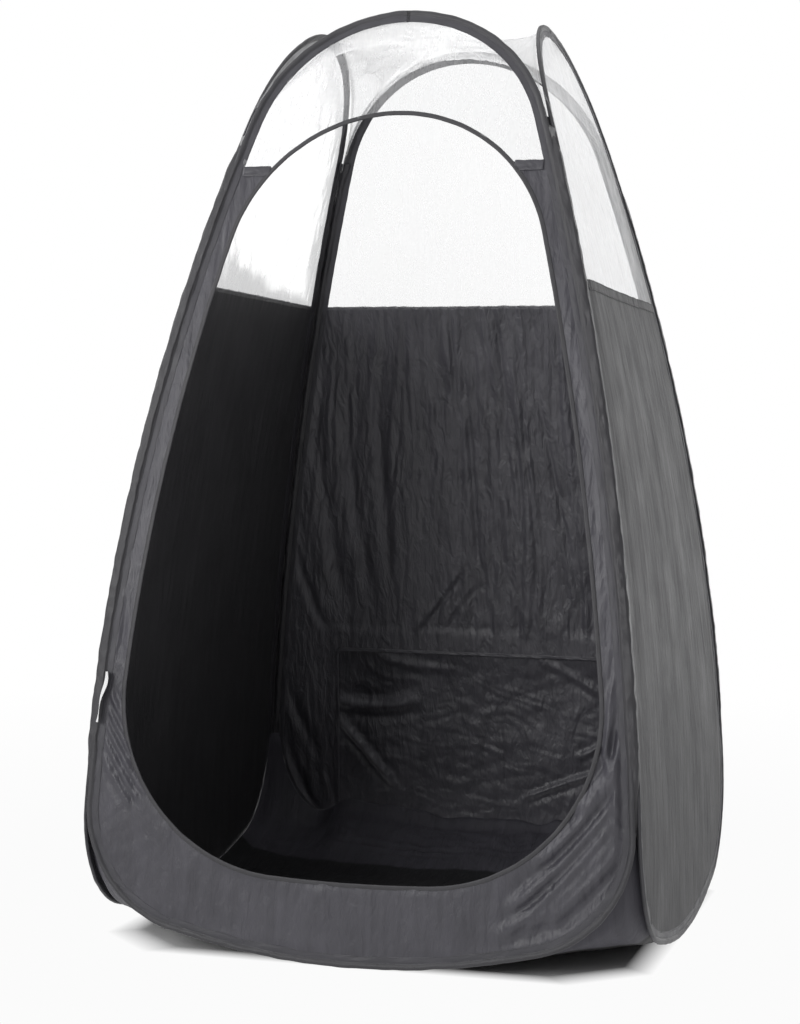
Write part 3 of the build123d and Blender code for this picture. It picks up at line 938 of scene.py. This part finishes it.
def level_tape(name, side, centre, half_width, face_out, back_out, seed, look, node, stitch_name, stitch_off):
    """A level tape along points (u, z), with a row of stitches above its middle and one below.

    Its rounded section lies between two distances out from the cloth.
    """
    relief, top = RELIEF[side], FRONT_WALL_TOP if side == "front" else WALL_TOP
    s = run_length(centre)
    t = np.array([-1, -0.97, -0.86, -0.4, 0, 0.4, 0.86, 0.97, 1, 0.97, 0.5, 0, -0.5, -0.97])
    up = np.array([0.5, 0.8, 1, 1, 1, 1, 1, 0.8, 0.5, 0.2, 0, 0, 0, 0.2])
    wave = 0.0004 * noise(s[:, None] * 55, t[None] * 1.2, seed)
    wide = 1 + 0.05 * noise(s[:, None] * 40, 0.0, seed + 1)
    z = centre[:, 1:] + t[None] * half_width * wide
    u = np.broadcast_to(centre[:, :1], z.shape)
    out = back_out + (face_out - back_out) * up[None] + wave + relief(u, np.minimum(z, WALL_TOP))
    around = np.concatenate([[0], np.cumsum(np.abs(np.diff(t)) * half_width)])
    obj = lofted(name, place(side, u, z, out), around, s, False, look)
    finish_piece(obj, BODY[side], "binding_cloth", node)
    rows = []
    for off in (-stitch_off, stitch_off):
        u, z = centre[:, 0], centre[:, 1] + off
        rows.append(np.column_stack([u, z, face_out + relief(u, np.minimum(z, top))]))
    stitching(stitch_name, side, "binding_cloth", rows)


def seam_tape(side, name, u0, u1, height, node, seed):
    """Tape over the seam of a wall and its film, just below the wall's top."""
    u = np.linspace(u0, u1, max(20, int((u1 - u0) / 0.006)))
    centre = np.stack([u, height + 0.0007 * noise(u * 60, 0.3, seed) - 0.0085], 1)
    level_tape(name, side, centre, 0.0115, 0.0019, 0.0007, seed, CLOTH[side], node,
               f"{name}_stitching", 0.0085)


sleeve_end = hoop_outline(SLEEVE - 0.0008)
wall_end = float(sleeve_end.half_width(WALL_TOP))
for seed, side in enumerate(("left", "right", "back"), 500):
    seam_tape(side, f"{side}_film_tape", -wall_end, wall_end, WALL_TOP, f"{side}_window_seam", seed)
outer_end = float(sleeve_end.half_width(FRONT_WALL_TOP))
inner_end = float(DOOR.half_width(FRONT_WALL_TOP)) + 0.011
for seed, end, u0, u1 in ((510, "left", -outer_end, -inner_end), (511, "right", inner_end, outer_end)):
    seam_tape("front", f"front_film_tape_{end}", u0, u1, FRONT_WALL_TOP, f"front_window_seam_{end}", seed)

# Round a cut edge: 6 mm over the cloth and 4 mm into the opening.
BINDING_SECTION = mirrored_section([
    (-0.0060, 0.0), (-0.0058, 0.0010), (-0.0045, 0.0013), (-0.0020, 0.0016),
    (0.0010, 0.0019), (0.0028, 0.0019), (0.0038, 0.0012), (0.0041, 0.0),
])


def bound_edge(name, side, path, inward, node, seed, look="tape"):
    """Bias binding folded over a cut edge, given as a closed path, with a row of stitches on each face."""
    s, path, inward = run_length(path)[:-1], path[:-1], inward[:-1]
    d, n = BINDING_SECTION.T
    pucker = 1 + 0.35 * fbm(s[:, None] * 70, d[None] * 150, seed)
    reach = d[None] + 0.0005 * noise(s[:, None] * 28, 0.0, seed + 1)
    wave = 0.0004 * noise(s[:, None] * 20, 0.0, seed + 2)
    points = swept(side, path, inward, reach, n[None] * pucker + wave)
    obj = lofted(name, points, run_length(BINDING_SECTION), s, True, look)
    finish_piece(obj, BODY[side], "binding_cloth", node)
    row = path + inward * -0.0044
    rows = [np.column_stack([row, np.full(len(row), way * 0.0014)]) for way in (1, -1)]
    stitching(f"{name}_stitching", side, "binding_cloth", rows)


def rounded_box_path(half_u, low, high, radius, step=0.006):
    """Closed path round a rectangle with round corners, and its inward directions."""
    points, inward = [], []
    u, z0, z1 = half_u - radius, low + radius, high - radius
    centres = np.array([(u, z0), (u, z1), (-u, z1), (-u, z0)])
    for k in range(4):
        angles = np.radians(np.linspace(90 * k - 90, 90 * k, 8))
        ray = np.stack([np.cos(angles), np.sin(angles)], 1)
        arc = centres[k] + radius * ray
        after = centres[(k + 1) % 4] + radius * ray[-1]
        count = int(np.linalg.norm(after - arc[-1]) / step)
        run = np.linspace(arc[-1], after, count)[1:-1]
        points += [arc, run]
        inward += [-ray, np.tile(-ray[-1], (len(run), 1))]
    points, inward = np.vstack(points), np.vstack(inward)
    return np.vstack([points, points[:1]]), np.vstack([inward, inward[:1]])


door_s = DOOR.loop(720, endpoint=True)
bound_edge("door_edge_tape", "front", DOOR.at(door_s), DOOR.inward(door_s), "door_binding", 601)
vent_path, vent_inward = rounded_box_path(VENT_HALF, VENT_BOTTOM, VENT_TOP, VENT_CORNER_R)
bound_edge("vent_edge_tape", "back", vent_path, vent_inward, "vent_binding", 621, "rear")
hinge_u = np.linspace(-FLAP_HALF, FLAP_HALF, 160)
hinge_centre = np.stack([hinge_u, HINGE_TAPE_Z + 0.0005 * noise(hinge_u * 40, 0.0, 631)], 1)
level_tape("vent_top_tape", "back", hinge_centre, 0.0088, 0.0022, 0.0008, 632, "tape", "vent_hinge_tape",
           "vent_top_stitching", 0.006)


# -------- vent flap and its fastening patches

def flap_out(z):
    """Outwards distance of the flap's cloth as it hangs a little ajar from its hinge."""
    return 0.0038 + np.maximum(HINGE_Z - z, 0) * np.tan(FLAP_AJAR)


FLAP_FOLDS = (
    ((0.46, 0.43), (0.33, 0.41), (0.18, 0.44), 0.016, 0.012),
    ((0.45, 0.39), (0.35, 0.28), (0.26, 0.18), 0.010, 0.012),
    ((-0.07, 0.17), (-0.19, 0.22), (-0.32, 0.27), 0.009, 0.010),
    ((-0.23, 0.29), (-0.28, 0.32), (-0.34, 0.35), 0.008, 0.007),
    ((-0.12, 0.56), (-0.21, 0.52), (-0.33, 0.45), 0.010, 0.005),
    ((0.33, 0.56), (0.23, 0.53), (0.09, 0.52), 0.012, 0.005),
)


def flap_relief(u, z):
    """Loose level crumples and a few sharper folds, none of them reaching in to the wall."""
    down = ease(HINGE_Z - z, 0.0, 0.10)
    crumple = 0.0015 * ridges(u * 7 + 1.6 * noise(u * 5, z * 6, 711), z * 19 + u * 5, 701)
    crumple = crumple + 0.0011 * ridges(u * 10, z * 38 - u * 9 + 1.2 * noise(u * 8, z * 8, 712), 702)
    crumple = crumple + 0.0004 * fbm(u * 45, z * 95, 703)
    soft = 0.006 + 0.0045 * noise(u * 4, z * 5, 704)
    folds = sum(crease(u, z, *fold_line) for fold_line in FLAP_FOLDS)
    return flap_out(z) + np.maximum((crumple + soft) * down - folds, -0.6 * (flap_out(z) - 0.0033))


flap_u = np.linspace(-FLAP_HALF, FLAP_HALF, 190)
flap_z = np.linspace(FLAP_LOW, HINGE_Z - 0.0012, 110)
flap_block = np.stack(np.meshgrid(flap_u, flap_z), -1)
panel_sheet("flap_cloth", "back", [flap_block], flap_relief, "rear", "vent_flap", "wall_cloth",
            "vent_flap_cloth")


def patch(name, node, body, look, out, seed):
    """Small fastening patch: a slab with a soft edge and a rough face."""
    low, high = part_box(node)
    # The back panel's u runs against the frame's x.
    middle, half = -(low.x + high.x) / 2, (high.x - low.x) / 2
    z = np.linspace(low.z, high.z, 40)
    face = np.linspace(-1, 1, 16)
    t = np.concatenate([face, np.linspace(0.95, -0.95, 10)])
    up = np.concatenate([np.sqrt(1 - face ** 8), np.zeros(10)])
    rough = 0.00025 * noise((z - z[0])[:, None] * 900, t[None] * 9, seed) * (up > 0.5)
    points = place("back", middle + t[None] * half, z[:, None], out(z)[:, None] + 0.0009 * up[None] + rough)
    finish_piece(lofted(name, points, t * half, z - z[0], False, look), body, "hook_and_loop", node)


for k, where in enumerate(("left", "right")):
    patch(f"vent_hook_{where}", f"vent_hook_pad_{where}", BODY["back"], "hook",
          lambda z: np.full_like(z, 0.0004), 640 + k)
    patch(f"flap_loop_{where}", f"vent_flap_loop_pad_{where}", "vent_flap", "loop",
          lambda z: flap_out(z) - 0.0016, 650 + k)


# -------- tag

def make_tag():
    """Blank woven tag caught in the sleeve's seam, a little twisted."""
    low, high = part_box("blank_tag")
    z = np.linspace(low.z, high.z, 60)[:, None]
    across = np.linspace(0, 1, 16)[None]
    t = (z - z[0]) / (z[-1] - z[0])
    width = 0.024
    turn = np.radians(60 + 9 * np.sin(t * 2 * pi))
    start = 0.0050 + 0.0085 * t + 0.0016 * np.sin(t * 3 * pi)
    u = -HOOP.half_width(z) + start + across * width * np.cos(turn)
    lift = 0.0056 + across * width * np.sin(turn) * 0.8
    uv = np.stack(np.broadcast_arrays(u, z), -1).reshape(-1, 2)
    obj = build("plain_tag", place("front", u, z, lift), grid_faces(*u.shape), uv, "tag")
    thicken(obj, 0.0004)
    finish_piece(obj, BODY["front"], "tag_cloth", "blank_tag")


make_tag()


# -------- roof, floor and corners


def rim_gap(a):
    """1 in the middle of a square grid, 0 at its rim, where a runs from -1 to 1."""
    return 1 - np.maximum(np.abs(a)[None], np.abs(a)[:, None])


def level_sheet(name, x, y, z, drawn_in, look, slot, node):
    """A sheet across the tent. Its points are drawn in towards the door by up to a few millimetres."""
    points = np.stack([x, y - drawn_in, z], -1).reshape(-1, 3)
    obj = build(name, points, grid_faces(*z.shape), np.stack([x, y], -1).reshape(-1, 2), look)
    finish_piece(obj, BODY["front"], slot, node)
    return obj


def make_roof():
    """Film hung from the four arches, between a soap film on them and where two pairs of arches cross."""
    a = np.linspace(-1, 1, 85)
    corner = WALL_HALF - CORE_GAP - float(lean(ARCH_START - 0.01))
    arch_r = HOOP.arch_r - ROOF_INSET
    rim = HOOP.arch_z + np.sqrt(np.maximum(arch_r ** 2 - (a * corner) ** 2, 0))
    reach = WALL_HALF - CORE_GAP - lean(rim)
    x, y = a[None, :] * reach[:, None], a[:, None] * reach[None, :]
    crossing = np.maximum(rim[None, :], rim[:, None])
    soap = crossing.copy()
    soap[0], soap[-1], soap[:, 0], soap[:, -1] = rim, rim, rim, rim
    for _ in range(2600):
        soap[1:-1, 1:-1] = (soap[:-2, 1:-1] + soap[2:, 1:-1] + soap[1:-1, :-2] + soap[1:-1, 2:]) / 4
    ray = np.arctan2(y, x)
    ripple = 0.0035 * noise(x * 7, y * 7, 801) + 0.0016 * ridges(ray * 7, np.hypot(x, y) * 6, 802)
    ripple = ripple + 0.0014 * ridges(x * 26 + y * 9, y * 16, 803)
    z = 0.35 * crossing + 0.65 * soap + ease(rim_gap(a), 0.0, 0.12) * ripple
    obj = level_sheet("roof_sheet", x, y, z, 0.0, "film", "window_film", "roof_film")
    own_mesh(obj)


def floor_height(across):
    """Height of the floor cloth over its distance from the middle, measured along a diagonal."""
    flat_reach = WALL_HALF / sqrt(2)
    belly, belly_end, pull, lift = BELLY_R / 2, 0.300, 0.068, 0.003
    swing = asin(belly_end / belly)
    knee = np.array([flat_reach + belly_end, lift + belly * (1 - cos(swing))])
    foot = np.array([sqrt(2) * (WALL_HALF - CORE_GAP - float(lean(GUSSET_TOP))) - 0.002, GUSSET_TOP])
    p1 = knee + pull * np.array([cos(swing), sin(swing)])
    p2 = foot - np.array([0, 2 * pull])
    t = np.linspace(0, 1, 60)[:, None]
    rise = (1 - t) ** 3 * knee + 3 * t * (1 - t) ** 2 * p1 + 3 * t * t * (1 - t) * p2 + t ** 3 * foot
    s = np.linspace(0, belly_end, 60)
    curve_x = np.concatenate([[0.0], flat_reach + s, rise[1:, 0]])
    curve_z = np.concatenate([[lift], lift + belly - np.sqrt(belly ** 2 - s ** 2), rise[1:, 1]])
    return np.interp(across, curve_x, curve_z)


def make_floor():
    """Floor cloth: flat in the middle, raised in the corners, and wrinkled."""
    a = np.linspace(-1, 1, 151)
    a = np.sign(a) * (1 - (1 - np.abs(a)) ** 1.25)
    reach = WALL_HALF - 0.0028
    x, y = np.meshgrid(a * reach, a * reach)
    z = floor_height((np.abs(x) + np.abs(y)) / sqrt(2))
    shrink = 1 - lean(z) / reach
    x, y = x * shrink, y * shrink
    rim = rim_gap(a)
    wrinkle = 0.0018 * ridges(x * 8, y * 8, 811) + 0.0012 * ridges(x * 19, y * 15, 812) + 0.0018
    # Loose cloth that stands up against the back wall.
    slack = 0.096 * ease(y, 0.30, 0.68) * (1 - ease(np.abs(x), 0.36, 0.52))
    slack = slack * (1 + 0.10 * ridges(x * 9 + y * 3, y * 7, 813))
    slack = slack + 0.0035 * ridges(x * 5 + noise(x * 6, y * 9, 815), y * 34, 814) * ease(slack, 0.01, 0.05)
    z = z + 0.0006 + 0.022 * (1 - ease(rim, 0.0, 0.06)) + wrinkle * ease(rim, 0.0, 0.12) + slack
    obj = level_sheet("floor_cloth_sheet", x, y, z, 0.07 * slack, "floor", "floor_cloth", "floor_sheet")
    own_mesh(obj)


make_roof()
make_floor()


def corner_strip(name, sx, sy, half=None):
    """Cloth that joins two hoops' sleeves up a corner, on the outside: all of it, or its x or y half."""
    z = np.linspace(GUSSET_TOP + 0.012, ARCH_START - 0.006, 260)
    inner, outer, bend, flat = STRIP_INNER, WALL_HALF + 0.0050, 0.0060, 0.004
    angles = np.linspace(0, pi / 2, 9)
    turn = [(outer - bend + bend * sin(k), outer - bend + bend * cos(k)) for k in angles]
    profile = np.array([(inner, outer), (inner + flat, outer), *turn, (outer, inner + flat), (outer, inner)])
    middle = len(profile) // 2
    profile = {"x": profile[middle:], "y": profile[:middle + 1]}.get(half, profile)
    sunk = 0.010 * (1 - ease(z, z[0], z[0] + 0.16) * (1 - ease(z, z[-1] - 0.10, z[-1])))
    seed, across, up = 831 + sx + 3 * sy, np.arange(len(profile))[None] * 0.35, z[:, None]
    ripple = 0.0008 * noise(up * 45, across, seed) + 0.0013 * noise(up * 19, across * 0.3, seed + 9)
    inset = (lean(z) + sunk)[:, None] - ripple
    x, y = sx * (profile[:, 0] - inset), sy * (profile[:, 1] - inset)
    points = np.stack(np.broadcast_arrays(x, y, up), -1).reshape(-1, 3)
    uv = np.stack(np.broadcast_arrays(run_length(profile)[None], up), -1).reshape(-1, 2)
    obj = build(name, points, grid_faces(*x.shape), uv, "corner")
    thicken(obj)
    return obj


for a, b, sx, sy in (("front", "left", -1, -1), ("front", "right", 1, -1), ("left", "back", -1, 1)):
    # Wrapped round the corner between two panels; its shape is baked where it stands. The strip's end over
    # the front or back sleeve is the one on its y side.
    strip = corner_strip("corner_front_" + b if a == "front" else "corner_back_left", sx, sy)
    outer = WALL_HALF + 0.0052
    ends = [(sx * STRIP_INNER, sy * outer, 0.0), (sx * outer, sy * STRIP_INNER, 0.0)]
    start, end = ends if a == "front" else ends[::-1]
    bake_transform(strip)
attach(corner_strip("corner_back_right_side", 1, 1, "x"), "right_panel")
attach(corner_strip("corner_back_right_rear", 1, 1, "y"), "back_panel")


# -------- CAD nodes that stay

for side in TURNS:
    for node, look in (("hoop_wire", "steel"), ("hoop_ferrule", "ferrule")):
        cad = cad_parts[f"{side}_{node}"]
        cad.data.materials.clear()
        cad.data.materials.append(MATERIALS[look])


# -------- studio

def make_ground():
    """White ground that glows evenly, and takes shadows only close round the tent."""
    m = Nodes(bpy.data.materials.new("studio_floor"))
    where = m.add("ShaderNodeNewGeometry").outputs["Position"]
    away = m.add("ShaderNodeVectorMath", {0: where}, operation="LENGTH").outputs["Value"]
    parts = m.split(where)
    x, y = m.math("ABSOLUTE", parts["X"]), m.math("ABSOLUTE", parts["Y"])
    corner = m.math("MULTIPLY", m.math("ADD", x, y), 0.57)
    beside = m.math("MAXIMUM", corner, m.math("MAXIMUM", x, y))
    paper = m.shader("ShaderNodeBsdfDiffuse", Color=(0.86, 0.86, 0.86, 1))
    strength = m.ramp(away, 0.965, 1.0, 1.5, 5.0)
    glow = m.shader("ShaderNodeEmission", Color=(1.0, 1.0, 1.0, 1), Strength=strength)
    m.surface(m.mix_shaders(m.ramp(beside, 0.0, 1.0, 0.560, 0.632), paper, glow))
    bpy.ops.mesh.primitive_circle_add(vertices=96, radius=60.0, fill_type="NGON", location=(0, 0, 0))
    ground = bpy.context.object
    ground.name = "studio_floor"
    ground.data.materials.append(m.owner)


def make_world():
    """Pure white to the camera, a third of that in reflections, and dim as a light."""
    bpy.context.scene.world = bpy.data.worlds.new("studio")
    w = Nodes(bpy.context.scene.world, "ShaderNodeOutputWorld")
    seen = w.shader("ShaderNodeBackground", Strength=1.0, Color=(1.0, 1.0, 1.0, 1))
    light = w.shader("ShaderNodeBackground", Strength=0.17, Color=(0.98, 0.98, 1.0, 1))
    rays = w.add("ShaderNodeLightPath").outputs
    inputs = {0: rays["Is Glossy Ray"], 1: 0.35, 2: rays["Is Camera Ray"]}
    share = w.add("ShaderNodeMath", inputs, operation="MULTIPLY_ADD", use_clamp=True).outputs[0]
    w.surface(w.mix_shaders(share, light, seen))


def softbox(name, location, target, size, radiance):
    """Rectangular light of a given brightness, unseen by the camera."""
    data = bpy.data.lights.new(name, "AREA")
    data.shape = "RECTANGLE"
    data.size, data.size_y = size
    data.energy = radiance * size[0] * size[1] * pi
    lamp = bpy.data.objects.new(name, data)
    bpy.context.scene.collection.objects.link(lamp)
    lamp.location = location
    lamp.rotation_mode = "QUATERNION"
    lamp.rotation_quaternion = (Vector(target) - Vector(location)).to_track_quat("-Z", "Y")
    lamp.visible_camera = False


make_ground()
make_world()
softbox("overhead", (0.0, 0.0, 5.2), (0, 0, 0), (6.0, 6.0), 1.3)
softbox("behind", (0.0, 5.0, 2.0), (0, 0, 1.2), (7.0, 4.0), 1.4)
softbox("front", (-3.0, -7.6, 3.2), (0, 0, 0.9), (3.0, 2.8), 11.0)
softbox("left", (-4.6, -1.4, 3.7), (0.2, 0.3, 1.0), (1.8, 1.8), 9.0)


# -------- camera

def make_camera():
    """The photo's view, a little right of the door."""
    azimuth, distance, height, roll = radians(15.331), 5.312, 1.117, 0.0123
    aim_height, aim_left = 0.9625, 0.0774
    across = Vector((cos(azimuth), sin(azimuth), 0))
    where = Vector((sin(azimuth) * distance, -cos(azimuth) * distance, height))
    target = Vector((0, 0, aim_height)) - aim_left * across
    ahead = (target - where).normalized()
    right = ahead.cross(Vector((0, 0, 1))).normalized()
    up = right.cross(ahead)
    x_axis = cos(roll) * right + sin(roll) * up
    y_axis = -sin(roll) * right + cos(roll) * up
    data = bpy.data.cameras.new("camera")
    data.lens = 77.617
    data.sensor_width = 36.0
    camera = bpy.data.objects.new("camera", data)
    bpy.context.scene.collection.objects.link(camera)
    camera.matrix_world = Matrix.Translation(where) @ Matrix((x_axis, y_axis, -ahead)).transposed().to_4x4()
    bpy.context.scene.camera = camera


make_camera()
bpy.context.scene.view_settings.view_transform = "Standard"
